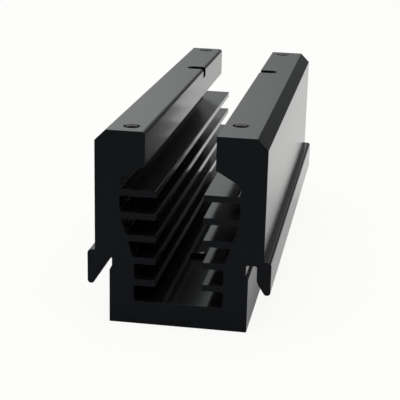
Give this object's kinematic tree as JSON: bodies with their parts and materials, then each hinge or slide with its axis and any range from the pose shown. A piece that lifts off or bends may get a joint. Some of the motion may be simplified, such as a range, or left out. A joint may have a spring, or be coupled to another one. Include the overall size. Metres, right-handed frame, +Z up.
{
  "type": "extruded heat sink",
  "caption": "Deep U-shaped extruded aluminium heat sink with finned inner walls, heavy drilled heads and a clip hook along each side.",
  "frame": {"origin": "middle of the flat underside", "axes": "+Y along the extrusion, towards its rear end; +Z up, from the underside to the heads; +X across the section, towards the hook with the flat-headed groove"},
  "size_m": [0.0558, 0.15, 0.06],
  "materials": {
    "anodised": "satin black anodised"
  },
  "bodies": {
    "root": {"heat_sink": "anodised"}
  },
  "joints": []
}
